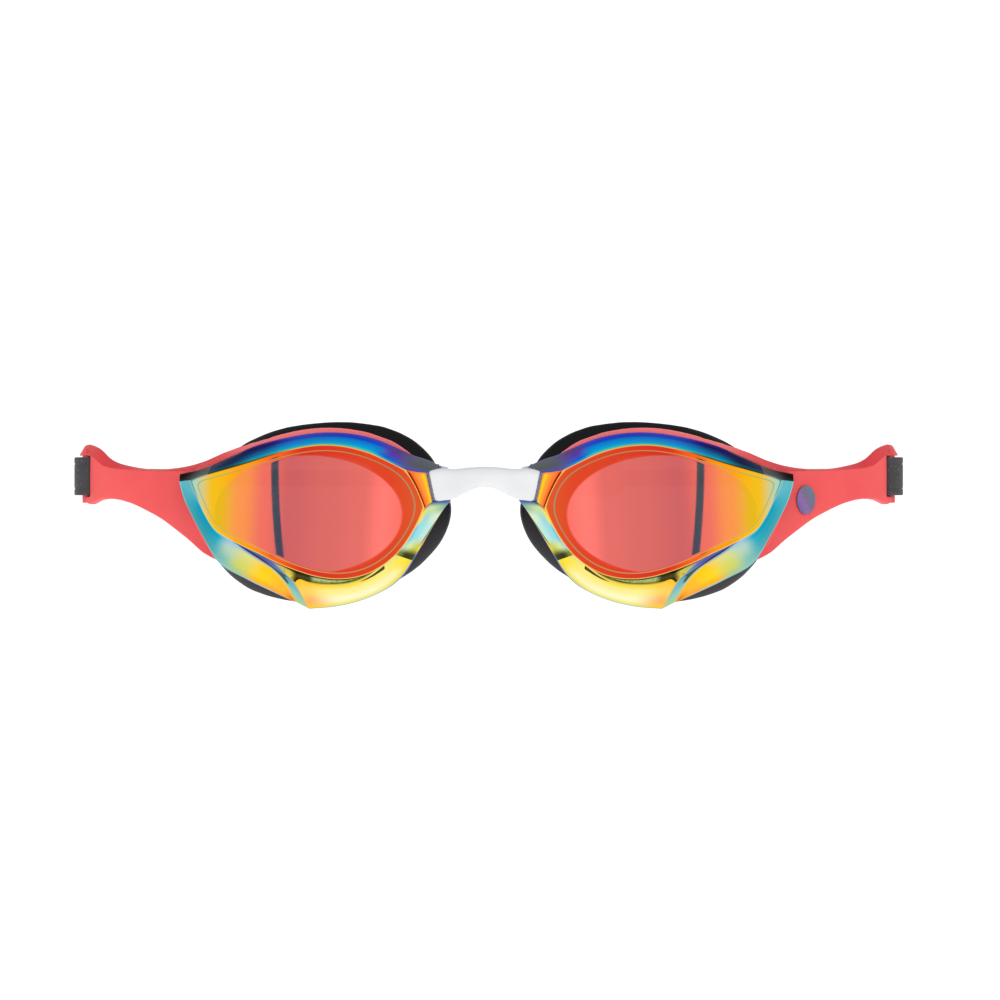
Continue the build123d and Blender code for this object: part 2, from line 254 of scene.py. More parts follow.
class Wire:
    """A shader socket that takes part in written sums."""

    def __init__(self, shade, socket):
        self.shade = shade
        self.socket = socket

    def maths(self, operation, *others):
        values = dict(enumerate((self, *others)))
        return self.shade.add("ShaderNodeMath", {"operation": operation}, values)

    def __add__(self, other):
        return self.maths("ADD", other)

    __radd__ = __add__

    def __mul__(self, other):
        return self.maths("MULTIPLY", other)

    __rmul__ = __mul__

    def __sub__(self, other):
        return self.maths("SUBTRACT", other)

    def __rsub__(self, other):
        return (self * -1) + other

    def __truediv__(self, other):
        return self.maths("DIVIDE", other)

    def size(self):
        return self.maths("ABSOLUTE")

    def step(self, start, end):
        """0 before start, 1 after end, and a soft rise between them."""
        settings = {"interpolation_type": "SMOOTHSTEP", "clamp": True}
        values = {"Value": self, "From Min": start, "From Max": end}
        return self.shade.add("ShaderNodeMapRange", settings, values)

    def between(self, start, end, soft):
        """1 between start and end, with soft edges."""
        return self.step(start - soft, start + soft) * (1 - self.step(end - soft, end + soft))


class Shade:
    """One material and the nodes that make it."""

    def __init__(self, name):
        self.material = bpy.data.materials.new(name)
        self.material.use_nodes = True
        self.tree = self.material.node_tree
        self.tree.nodes.clear()

    def add(self, kind, settings=None, values=None, out=0):
        """One node: settings first, then its sockets' values or links."""
        node = self.tree.nodes.new(kind)
        for key, value in (settings or {}).items():
            if key == "stops":
                self.set_stops(node.color_ramp, value)
            else:
                setattr(node, key, value)
        for key, value in (values or {}).items():
            if isinstance(value, Wire):
                self.tree.links.new(value.socket, node.inputs[key])
            else:
                node.inputs[key].default_value = value
        return Wire(self, node.outputs[out])

    def set_stops(self, ramp, stops):
        ramp.interpolation = "EASE"
        while len(ramp.elements) < len(stops):
            ramp.elements.new(0.5)
        for element, (place, *colour) in zip(ramp.elements, stops):
            element.position = place
            element.color = srgb(*colour)

    def ramp(self, value, *stops):
        return self.add("ShaderNodeValToRGB", {"stops": stops}, {0: value})

    def mix(self, share, first, second):
        """A colour that goes from the first to the second as share goes from 0 to 1."""
        colours = [c if isinstance(c, Wire) else srgb(*c) for c in (first, second)]
        values = {0: share, 6: colours[0], 7: colours[1]}
        return self.add("ShaderNodeMix", {"data_type": "RGBA"}, values, out=2)

    def coordinate(self, part, kind="Object"):
        """One part, 0 to 2, of the object coordinates in millimetres, or of the UV map."""
        source = self.tree.nodes.new("ShaderNodeTexCoord").outputs[kind]
        split = self.add("ShaderNodeSeparateXYZ", {}, {0: Wire(self, source)}, out=part)
        return split if kind == "UV" else split / MM

    def across_facet(self):
        """How far along a facet a place is, and how far across it."""
        return self.coordinate(0, "UV"), self.coordinate(1, "UV")

    def noise(self, scale, detail=2.0, roughness=0.5):
        """Fine noise on object coordinates, about scale bumps to the millimetre."""
        source = Wire(self, self.tree.nodes.new("ShaderNodeTexCoord").outputs["Object"])
        values = {"Vector": source, "Scale": scale / MM, "Detail": detail, "Roughness": roughness}
        return self.add("ShaderNodeTexNoise", {}, values)

    def bump(self, height, distance, strength=1.0):
        """A bump whose height is in millimetres."""
        values = {"Height": height, "Distance": distance * MM, "Strength": strength}
        return self.add("ShaderNodeBump", {}, values)

    def surface(self, **sockets):
        """Ends the material with one glossy or matt surface."""
        values = {name.replace("_", " "): value for name, value in sockets.items()}
        surface = self.add("ShaderNodeBsdfPrincipled", {}, values)
        end = self.tree.nodes.new("ShaderNodeOutputMaterial")
        self.tree.links.new(surface.socket, end.inputs["Surface"])
        return self.material


def tint_and_reflection_bands(shade, along, across, bands):
    """A coating of bands along a facet, each held from one place to another, with a ramp across: the
    mirror's thin-film tint with painted reflections and painted shade in it.
    """
    _, held, *stops = bands[0]
    colour = shade.ramp(across, *stops)
    for start, end, *stops in bands[1:]:
        colour = shade.mix(along.step(held, start), colour, shade.ramp(across, *stops))
        held = end
    return colour


def mirror_coat(shade, colour, gloss=0.07):
    """The vacuum-deposited mirror over a tinted lens body."""
    haze = shade.noise(0.35).step(0.3, 0.7) * 0.03 + gloss
    return shade.surface(
        Base_Color=colour, Metallic=0.95, Roughness=haze, IOR=1.58, Specular_Tint=(0.3, 0.3, 0.35, 1),
    )


# ---- lens coatings: thin-film tints with painted reflections and painted shade ----
BORDER = 1.0  # window edge to its thin contour line
BORDER_SCALE = 20.0  # millimetres that the window's UV runs in from its edge
# The oval is painted light: the paler part of the window where light is seen through the lens.
OVAL_MIDDLE = (36.3, -2.0)  # X and Z of the paler oval in the window
OVAL_HALF = (19.7, 12.2)
WINDOW_START = 12.0  # X where the window's colour ramps start
WINDOW_RUN = 50.0  # and how far they run
CROWN_LEAN = 0.063  # how far the reflected bars lean for each millimetre up
CROWN_RISE = 0.12  # share of the crown's up and down curve that the polish keeps


def oval_reach(x, z):
    """How far out a place is in the window's oval: 1 on its edge."""
    wide = (x - OVAL_MIDDLE[0]) / OVAL_HALF[0]
    high = (z - OVAL_MIDDLE[1]) / OVAL_HALF[1]
    return (wide * wide + high * high).maths("SQRT")


def crown_normal(shade, share):
    """A polished window's normal where share is 1: curved across, but hardly curved up and down."""
    x, z = shade.coordinate(0), shade.coordinate(2)
    side, back = CROWN_CENTRE
    lean = x.maths("SIGN") * (z * CROWN_LEAN + side)
    parts = {0: x - lean, 1: shade.coordinate(1) - back, 2: z * CROWN_RISE}
    ray = shade.add("ShaderNodeCombineXYZ", {}, parts)
    settings = {"vector_type": "NORMAL", "convert_from": "OBJECT", "convert_to": "WORLD"}
    exact = shade.add("ShaderNodeVectorTransform", settings, {0: ray})
    exact = shade.add("ShaderNodeVectorMath", {"operation": "NORMALIZE"}, {0: exact})
    surface = shade.add("ShaderNodeNewGeometry", out="Normal")
    behind = shade.add("ShaderNodeNewGeometry", out="Backfacing")
    values = {0: share * (1 - behind), 4: surface, 5: exact}
    return shade.add("ShaderNodeMix", {"data_type": "VECTOR"}, values, out=1)


def window_finish():
    shade = Shade("window_mirror")
    x, z = shade.coordinate(0).size(), shade.coordinate(2)
    inward = shade.coordinate(1, "UV") * BORDER_SCALE
    lean = x + z * 0.06
    reach = (x - WINDOW_START) / WINDOW_RUN
    # Painted reflections over the thin-film tint: the broad soft red and orange bands across the window,
    # leaning a little with height.
    field = shade.ramp(
        (lean - WINDOW_START) / WINDOW_RUN,
        (0.04, 240, 100, 84), (0.17, 248, 116, 107), (0.26, 217, 103, 96), (0.4, 208, 98, 93),
        (0.56, 197, 91, 92), (0.66, 228, 104, 90), (0.76, 238, 140, 70), (0.86, 221, 176, 22),
        (0.92, 190, 196, 120), (0.99, 160, 200, 180),
    )
    # Painted light: inside the oval the window is painted paler, as the white backdrop seen through the
    # lens; outside it, this ramp gives the darker colour over the frame behind.
    rim = shade.ramp(
        reach,
        (0, 214, 84, 42), (0.16, 214, 66, 36), (0.5, 206, 50, 34), (0.62, 238, 96, 30),
        (0.74, 250, 150, 12), (0.88, 232, 182, 26), (0.98, 150, 205, 190),
    )
    seam = shade.ramp(reach, (0, 150, 140, 100), (0.5, 205, 140, 80), (0.9, 160, 170, 110))
    inside = 1 - oval_reach(x, z).step(0.975, 1.005)
    colour = shade.mix(inside * inward.step(BORDER + 0.1, BORDER + 0.3), rim, field)
    colour = shade.mix(inward.between(BORDER - 0.09, BORDER + 0.09, 0.05), colour, seam)
    # Painted highlight: a bright orange-yellow line along the window's rounded edge, painted dark as shade
    # at its top outer part.
    line = shade.mix(x.step(38, 44) * z.step(0, 3), (255, 200, 90), (84, 44, 18))
    colour = shade.mix(1 - inward.step(0.0, 0.22), colour, line)
    haze = shade.noise(0.3).step(0.3, 0.7) * 0.02 + 0.03
    return shade.surface(
        Base_Color=colour, Metallic=0.97, Roughness=haze, Alpha=0.985, IOR=1.58,
        Specular_Tint=(0.6, 0.45, 0.4, 1),
        Normal=crown_normal(shade, inward.step(BORDER + 0.3, BORDER + 0.6)),
    )


def brow_finish():
    shade = Shade("brow_mirror")
    u, v = shade.across_facet()
    wave = u + shade.noise(0.12).step(0.2, 0.8) * 0.03
    # Painted reflections and painted shade over the thin-film tint: blue and violet bands along the brow,
    # going dark grey and near-black towards the temple end.
    bands = [
        (0.1, 0.1, (0, 90, 110, 200), (0.12, 110, 104, 180), (0.4, 106, 112, 118), (0.9, 114, 120, 124),
         (1, 130, 126, 180)),
        (0.2, 0.2, (0, 60, 200, 245), (0.2, 36, 110, 235), (0.5, 110, 76, 200), (0.8, 110, 84, 150),
         (1, 120, 90, 160)),
        (0.28, 0.62, (0, 190, 220, 60), (0.07, 90, 225, 235), (0.25, 0, 190, 250), (0.5, 0, 162, 250),
         (0.78, 66, 96, 228), (1, 110, 100, 215)),
        (0.78, 0.78, (0, 24, 30, 30), (0.08, 60, 190, 200), (0.35, 22, 136, 186), (0.6, 40, 88, 150),
         (0.8, 64, 40, 96), (1, 110, 84, 180)),
        (0.94, 0.94, (0, 26, 30, 26), (0.12, 50, 112, 124), (0.45, 24, 66, 88), (1, 30, 44, 78)),
    ]
    return mirror_coat(shade, tint_and_reflection_bands(shade, wave, v, bands))


def corner_finish():
    shade = Shade("corner_mirror")
    v = shade.coordinate(1, "UV")
    # Painted reflection: the corner facet is painted near-black, as a dark reflection, with a pale line at
    # its window edge; its own gloss is kept faint.
    colour = shade.ramp(
        v, (0, 110, 190, 190), (0.1, 16, 22, 26), (0.5, 14, 10, 14), (0.9, 30, 12, 16),
        (1, 70, 34, 60),
    )
    return shade.surface(Base_Color=colour, Roughness=0.3, Specular_IOR_Level=0.03)


def temple_finish():
    shade = Shade("temple_mirror")
    u, v = shade.across_facet()
    # Painted reflections over the thin-film tint: blue and aqua bands, a pale patch of painted highlight,
    # then yellow and orange bands down to the fin.
    colour = tint_and_reflection_bands(shade, u, v, [
        (0.02, 0.02, (0, 150, 214, 205), (0.3, 112, 196, 204), (0.9, 92, 186, 198), (1, 140, 214, 220)),
        (0.2, 0.42, (0, 130, 200, 190), (0.12, 40, 166, 204), (0.4, 66, 178, 196), (0.9, 98, 188, 196),
         (1, 150, 215, 220)),
        (0.52, 0.52, (0, 150, 190, 220), (0.3, 176, 206, 186), (0.8, 130, 192, 180), (1, 140, 200, 200)),
        (0.63, 0.63, (0, 130, 150, 200), (0.12, 212, 212, 130), (0.6, 206, 208, 100), (0.93, 170, 200, 140),
         (1, 130, 190, 200)),
        (0.76, 0.76, (0, 140, 170, 190), (0.1, 250, 196, 20), (0.6, 248, 204, 36), (0.9, 245, 180, 30),
         (1, 130, 190, 200)),
        (0.9, 0.9, (0, 150, 190, 180), (0.15, 255, 180, 40), (0.6, 255, 176, 52), (0.9, 250, 160, 60),
         (1, 150, 190, 190)),
        (0.99, 0.99, (0, 240, 170, 60), (0.5, 200, 110, 50), (1, 240, 160, 70)),
    ])
    return mirror_coat(shade, colour)


def band_finish():
    shade = Shade("fin_band_mirror")
    u, v = shade.across_facet()
    # The ramp along the band is the thin-film tint with painted reflections.
    run = shade.ramp(
        u, (0.0, 96, 150, 200), (0.2, 120, 104, 186), (0.4, 110, 160, 200), (0.6, 116, 188, 196),
        (0.85, 140, 194, 180), (1, 170, 196, 130),
    )
    # Painted highlight: a gold glint painted along the band's crease with the groove and chin, past the
    # first third of its length.
    painted_edge_glint = shade.mix(u.step(0.3, 0.5), run, (246, 176, 60))
    edge = v.step(0.86, 0.98)
    return mirror_coat(shade, shade.mix(edge, run, painted_edge_glint))


def groove_finish():
    shade = Shade("groove_mirror")
    x, v = shade.coordinate(0).size(), shade.coordinate(1, "UV")
    # A noise mottle darkens the lower part of the groove.
    grain = shade.noise(1.6, 3.0).step(0.45, 0.75) * v.step(0.4, 0.9) * x.step(24, 30)
    # Painted reflections over the thin-film tint: pale, then green, then sand along the groove, with
    # painted shade dark along its crease with the chin.
    colour = tint_and_reflection_bands(shade, x, v, [
        (21.5, 21.5, (0, 200, 190, 120), (0.5, 200, 206, 140), (1, 226, 214, 120)),
        (24.0, 34.5, (0, 200, 190, 120), (0.15, 150, 190, 176), (0.45, 122, 162, 146),
         (0.75, 170, 186, 116), (0.92, 150, 150, 80), (1, 60, 50, 20)),
        (40.5, 40.5, (0, 130, 180, 200), (0.3, 110, 120, 160), (0.55, 190, 180, 80), (0.85, 226, 200, 70),
         (1, 90, 70, 20)),
    ])
    shadow = x.between(35.4, 39.4, 0.8) * v.step(0.25, 0.6)
    colour = shade.mix(shadow * 0.9, colour, (26, 20, 8))
    return mirror_coat(shade, shade.mix(grain * 0.6, colour, (40, 44, 22)))


def chin_finish():
    shade = Shade("chin_mirror")
    u, v = shade.across_facet()
    # Painted reflections over the thin-film tint: yellow and cream bands, with a bluish line of painted
    # highlight along the skirt edge.
    colour = tint_and_reflection_bands(shade, u, v, [
        (0.02, 0.02, (0, 240, 190, 40), (0.4, 255, 200, 90), (0.75, 255, 172, 96), (0.96, 246, 190, 60),
         (1, 120, 180, 120)),
        (0.3, 0.6, (0, 150, 130, 40), (0.1, 236, 208, 70), (0.4, 255, 230, 140), (0.75, 255, 240, 190),
         (0.95, 230, 220, 120), (1, 110, 180, 190)),
        (0.8, 0.8, (0, 230, 220, 120), (0.3, 255, 226, 120), (0.7, 254, 234, 170), (0.93, 226, 214, 90),
         (1, 90, 130, 200)),
        (0.97, 0.97, (0, 220, 220, 130), (0.4, 248, 222, 70), (0.9, 236, 210, 60), (1, 90, 120, 200)),
    ])
    return mirror_coat(shade, colour)


def cheek_finish():
    """The facet below the nose bridge: painted yellow and aqua reflections over the thin-film tint, with
    dark strokes and painted shade as a dark break at its foot.
    """
    shade = Shade("cheek_mirror")
    u, v = shade.across_facet()
    colour = tint_and_reflection_bands(shade, u, v, [
        (0.06, 0.06, (0, 130, 140, 70), (0.5, 58, 60, 30), (0.9, 70, 64, 26), (1, 90, 140, 190)),
        (0.2, 0.2, (0, 150, 210, 220), (0.35, 214, 226, 150), (0.7, 190, 200, 90), (0.93, 250, 210, 50),
         (1, 90, 150, 210)),
        (0.38, 0.55, (0, 250, 190, 70), (0.1, 100, 190, 228), (0.35, 150, 214, 222), (0.7, 186, 224, 210),
         (0.85, 90, 90, 50), (0.9, 248, 214, 60), (1, 80, 150, 215)),
        (0.72, 0.72, (0, 250, 180, 60), (0.15, 220, 220, 120), (0.4, 160, 206, 196), (0.6, 200, 224, 200),
         (0.85, 250, 236, 130), (1, 90, 140, 210)),
        (0.88, 0.88, (0, 245, 200, 60), (0.4, 196, 216, 150), (0.75, 130, 170, 152), (1, 80, 120, 190)),
        (1.0, 1.0, (0, 180, 120, 60), (0.4, 40, 90, 150), (1, 90, 80, 170)),
    ])
    return mirror_coat(shade, colour)


def nose_finish():
    shade = Shade("nose_mirror")
    u, v = shade.across_facet()
    # Painted reflections and painted shade: dark red at the window edge, orange to yellow towards the
    # pocket.
    colour = shade.ramp(
        v, (0, 60, 14, 12), (0.1, 150, 30, 14), (0.22, 250, 112, 44), (0.6, 252, 152, 56),
        (0.82, 250, 196, 24), (0.94, 226, 160, 50), (1, 60, 90, 120),
    )
    # Painted highlight: orange at the top of the facet.
    top = u.step(0.9, 1.0)
    return mirror_coat(shade, shade.mix(top * 0.6, colour, (250, 120, 40)))


def wall_finish():
    shade = Shade("lens_edge")
    depth = shade.noise(0.08)
    colour = shade.ramp(depth, (0.3, 74, 60, 130), (0.5, 60, 90, 150), (0.7, 110, 100, 160))
    return mirror_coat(shade, colour, 0.12)


def lug_finish():
    shade = Shade("lens_lug")
    colour = shade.ramp(shade.coordinate(2), (0, 196, 196, 214), (1, 206, 204, 220))
    return shade.surface(Base_Color=colour, Metallic=0.3, Roughness=0.2)


def clear_finish():
    """The back of the window: clear, with a faint blue smoke tint."""
    shade = Shade("window_back")
    colour = shade.mix(shade.noise(0.1), (20, 60, 140), (34, 74, 150))
    return shade.surface(Base_Color=colour, Roughness=0.06, Alpha=0.4, IOR=1.58)


def smoke_finish():
    """The back of the coated facets: smoke-tinted polycarbonate."""
    shade = Shade("facet_back")
    colour = shade.mix(shade.noise(0.1), (26, 28, 36), (38, 40, 50))
    return shade.surface(Base_Color=colour, Roughness=0.14, IOR=1.58)


# ---- other finishes ----
def coral_finish():
    shade = Shade("coral_moulding")
    x, z = shade.coordinate(0).size(), shade.coordinate(2)
    mottle = shade.noise(0.09, 3.0).step(0.3, 0.7)
    colour = shade.mix(mottle, (234, 77, 79), (241, 85, 85))
    # Painted shade: the arm's upward faces are painted a deeper red.
    top_shade_mask = (shade.coordinate(2, "Normal") * MM).step(0.2, 0.7)
    colour = shade.mix(top_shade_mask * x.step(50, 58), colour, (214, 46, 54))
    # Painted highlight: the upper part of the ring towards the nose is painted paler.
    colour = shade.mix((1 - x.step(48, 56)) * z.step(4, 9), colour, (255, 122, 122))
    grain = shade.noise(7.0, 4.0, 0.6)
    rough = grain.step(0.3, 0.7) * 0.1 + 0.42
    normal = shade.bump(grain, 0.012, 0.5)
    return shade.surface(Base_Color=colour, Roughness=rough, Normal=normal, Specular_IOR_Level=0.35)


def gasket_finish():
    """Near-black silicone, with a little more light painted into its colour low down."""
    shade = Shade("gasket_silicone")
    low = 1 - shade.coordinate(2).step(-15, 5)
    colour = shade.mix(low, (12, 12, 13), (62, 62, 66))
    grain = shade.noise(5.0, 3.0, 0.6)
    rough = grain.step(0.3, 0.7) * 0.12 + 0.42
    normal = shade.bump(grain, 0.02, 0.6)
    return shade.surface(Base_Color=colour, Roughness=rough, Normal=normal, Specular_IOR_Level=0.15)


def silicone_finish(name, dark, light, speckle, speck_colour, rough, bump):
    shade = Shade(name)
    cloud = shade.noise(0.12, 3.0).step(0.25, 0.75)
    dots = shade.noise(2.4, 1.0).step(speckle, speckle + 0.05)
    colour = shade.mix(dots, shade.mix(cloud, dark, light), speck_colour)
    grain = shade.noise(5.0, 3.0, 0.6)
    normal = shade.bump(grain, bump, 0.6)
    roughness = grain.step(0.3, 0.7) * 0.12 + rough
    return shade.surface(Base_Color=colour, Roughness=roughness, Normal=normal, Specular_IOR_Level=0.4)


def bridge_finish():
    shade = Shade("bridge_white")
    cloud = shade.noise(0.1, 2.0).step(0.3, 0.7)
    colour = shade.mix(cloud, (226, 227, 229), (232, 233, 234))
    # Painted shade: the top of the bridge is painted greyer.
    colour = shade.mix(shade.coordinate(2).step(5.5, 7.8) * 0.6, colour, (206, 207, 210))
    grain = shade.noise(6.0, 3.0)
    rough = grain.step(0.3, 0.7) * 0.1 + 0.36
    return shade.surface(Base_Color=colour, Roughness=rough, Normal=shade.bump(grain, 0.01, 0.4))


def badge_finish():
    shade = Shade("badge_iridescent")
    z, x = shade.coordinate(2), shade.coordinate(0)
    shift = (x - 66 + (z - 1) * 0.5) / 6 + 0.5
    colour = shade.ramp(
        shift, (0.1, 110, 100, 140), (0.4, 138, 104, 160), (0.6, 120, 108, 132), (0.9, 104, 118, 140),
    )
    brushed = shade.noise(4.0, 2.0).step(0.3, 0.7) * 0.1 + 0.22
    return shade.surface(Base_Color=colour, Metallic=0.85, Roughness=brushed)


# ---- lens body ----
def sweep_y(x, depth):
    """Y of the swept-back plane that lies depth behind the window plane."""
    return WINDOW_Y + x * SLOPE + depth


def crown_y(x, z):
    """Y of the window's crowned face."""
    side, back = CROWN_CENTRE
    return back - math.sqrt(CROWN_RADIUS**2 - (x - side) ** 2 - z**2)


def ridge(points, count, start=0.0, end=0.0):
    """A line of the lens seen from the front, falling from the crown to the skirt by two shares."""
    flat = smooth_flat(points, count)
    line = []
    for i, (x, z, _) in enumerate(flat):
        share = start + (end - start) * i / count
        y = (1 - share) * crown_y(x, z) + share * sweep_y(x, SKIRT_DEPTH)
        line.append(Vector((x, y, z)))
    return line


# window edge, from the nose's top corner over the brow and round
W_BROW = ridge([
    (16, 7.1), (18, 8.05), (23.2, 10.5), (29, 12), (33.5, 12.25), (40.6, 11.1), (49.2, 8.5), (57.2, 6.3),
], 48)
W_CORNER = ridge([(57.2, 6.3), (59.4, 5.6), (60.8, 5)], 6)
W_TEMPLE = ridge([(60.8, 5), (60.2, 3.4), (59.1, 0.8), (57.6, -2.3), (55.6, -5.1), (52.1, -7.3)], 30)
W_BAND = ridge([(52.1, -7.3), (49.2, -8.7), (46.3, -10)], 8)
W_GROOVE = ridge([
    (46.3, -10), (42, -12.1), (38, -13.6), (34.4, -14.65), (30.5, -15.15), (26.1, -14.75), (23.2, -13.8),
    (20.3, -12.1),
], 36)
W_FOOT = ridge([(20.3, -12.1), (18, -10.2)], 5)
W_CHEEK = ridge([(18, -10.2), (16.3, -8.1), (14.5, -5.3), (13.2, -2.7), (12.2, -0.6)], 14)
W_NOSE = ridge([(12.2, -0.6), (13, 1.5), (14.3, 4.3), (16, 7.1)], 12)
# silhouette of the skirt
S_BROW = ridge([
    (8.9, 7.9), (11.7, 9.2), (14.5, 10.1), (17.4, 11.4), (23.2, 13.7), (29, 14.75), (33.5, 14.85),
    (40.6, 13.9), (49.2, 11.5), (51.6, 10.4), (56.6, 8.1),
], 53, 1, 1)
S_CORNER = ridge([(56.6, 8.1), (60.2, 7), (63.4, 6.35)], 12, 1, 1)
S_TEMPLE = ridge([
    (63.5, 4.75), (62.6, 1.5), (60.8, -2.4), (58.2, -7.2), (55.3, -11.8), (49.2, -15.4), (43.4, -18.1),
    (39.7, -19.75),
], 58, 1, 1)
S_BAND = ridge([(38.9, -20), (36.2, -21.35)], 8, 1, 1)
S_CHIN = ridge([
    (36.2, -21.35), (30.7, -20.85), (26.1, -19.8), (22, -18.2), (18.6, -16.2), (15.8, -13.2),
    (14.7, -11.4),
], 41, 1, 1)
S_CHEEK = ridge([
    (14.7, -11.4), (13.6, -9.56), (11.64, -6.24), (9.66, -2.93), (7.67, 0.05), (6.9, 0.95),
], 14, 1, 1)
# lines between them
POCKET_TOP = ridge([(8.9, 7.9), (11.8, 6.5)], 10, 1, 0)
POCKET_SIDE = ridge([(10.6, 0.7), (11.8, 6.5)], 12)
POCKET_FOOT = ridge([(10.6, 0.7), (6.9, 0.95)], 5, 0, 1)
NOSE_TOP = ridge([(11.8, 6.5), (14, 6.7), (16, 7.1)], 5)
NOSE_FOOT = ridge([(12.2, -0.6), (10.6, 0.7)], 5)
BROW_END = ridge([(57.2, 6.3), (56.6, 8.1)], 10, 0, 1)
CORNER_FOOT = ridge([(60.8, 5), (63.5, 4.75)], 6, 0, 1)
CORNER_END = ridge([(63.5, 4.75), (63.4, 6.35)], 10, 1, 1)
BAND_OUTER = ridge([
    (52.1, -7.3), (49.2, -9.3), (46.3, -11.2), (42.9, -13.7), (40.8, -16.2), (38.9, -20),
], 28, 0, 1)
BAND_UPPER = ridge([(46.3, -10), (42.6, -12.6), (39, -15.9)], 14, 0, 0.5)
BAND_LOWER = ridge([(39, -15.9), (37.7, -18.4), (36.2, -21.35)], 14, 0.5, 1)
CHIN_TOP = ridge([
    (39, -15.9), (38.4, -15.3), (36.2, -15.75), (31.9, -16.1), (28, -15.8), (24.6, -14.7), (20.3, -12.1),
], 36, 0.5, 0)
FIN_TIP = ridge([(38.9, -20), (39.7, -19.75)], 6, 1, 1)
BREAK = ridge([(18, -10.2), (14.7, -11.4)], 14, 0, 1)


def inset_line(line, distance):
    """A closed line of the window moved in by a distance towards its middle, still on the crown."""
    rays, reaches = [], []
    for before, at, after in neighbours(line):
        run = after - before
        ray = Vector((EYE[0] - at.x, 0, EYE[1] - at.z)).normalized()
        rays.append(ray)
        reaches.append(1 / max(0.42, abs(ray.dot(Vector((-run.z, 0, run.x)).normalized()))))
    for _ in range(4):
        reaches = [(a + b + c) / 3 for a, b, c in neighbours(reaches)]
    moved = []
    for at, ray, reach in zip(line, rays, reaches):
        x, z = at.x + ray.x * distance * reach, at.z + ray.z * distance * reach
        moved.append(Vector((x, crown_y(x, z), z)))
    return moved


def rounded_loop(line, passes):
    """A closed line of the window with its corners worn round, still on the crown."""
    for _ in range(passes):
        eased = []
        for a, b, c in neighbours(line):
            eased.append(b.lerp((a + c) / 2, 0.5 if b.x < 50 else 0.08))
        line = eased
    return [Vector((p.x, crown_y(p.x, p.z), p.z)) for p in line]


def window_panel(bm):
    """The crowned window with the fine contour line inside its edge."""
    edge = W_BROW[:-1] + W_CORNER[:-1] + W_TEMPLE[:-1] + W_BAND[:-1]
    edge += W_GROOVE[:-1] + W_FOOT[:-1] + W_CHEEK[:-1] + W_NOSE[:-1]
    insets = [0.0, 0.25, 0.5, BORDER - 0.12, BORDER, BORDER + 0.12, 1.5, 2.1]
    rows, across = [], []
    for inset in insets:
        row = rounded_loop(inset_line(edge, inset), round(30 * inset))
        if inset == BORDER:
            for point in row:
                point.y += 0.06
        rows.append(row)
        across.append(inset / BORDER_SCALE)
    last = rows[-1]
    for share in (0.92, 0.84, 0.74, 0.64, 0.54, 0.44, 0.34, 0.24, 0.14, 0.06, 0.0):
        row = []
        for point in last:
            x = EYE[0] + (point.x - EYE[0]) * share
            z = EYE[1] + (point.z - EYE[1]) * share
            row.append(Vector((x, crown_y(x, z), z)))
        rows.append(row)
        across.append(1 - 0.89 * share)
    lay_grid(bm, [row + row[:1] for row in rows], 0, across)


LUG_OUTLINE = [
    (6.9, 1.3), (7, 4.4), (7.3, 7.3), (7.7, 7.75), (8.9, 8), (10.4, 7.85), (12.4, 7.3), (12.4, 4),
    (12.4, 0.9),
    (10.2, 0.3), (8, 0.35), (7.1, 0.75),
]


LUG_MIDDLE = (9.8, 4.1)
LUG_FRONT = -11.2


def add_lug(bm):
    """The pale end of the lens body that shows behind the nose bridge."""
    lug = bmesh.new()
    sections = []
    for share, shrink in ((0.0, 0.5), (0.1, 0.15), (0.25, 0.0), (1.0, 0.0)):
        ring = []
        for x, z in LUG_OUTLINE:
            x = LUG_MIDDLE[0] + (x - LUG_MIDDLE[0]) * (1 - shrink / 3)
            z = LUG_MIDDLE[1] + (z - LUG_MIDDLE[1]) * (1 - shrink / 4)
            ring.append(Vector((x, LUG_FRONT + (sweep_y(x, BACK_DEPTH) - LUG_FRONT) * share, z)))
        sections.append(ring)
    skin(lug, sections, 10)
    mesh = bpy.data.meshes.new("lug")
    lug.to_mesh(mesh)
    lug.free()
    bm.from_mesh(mesh)
    bpy.data.meshes.remove(mesh)


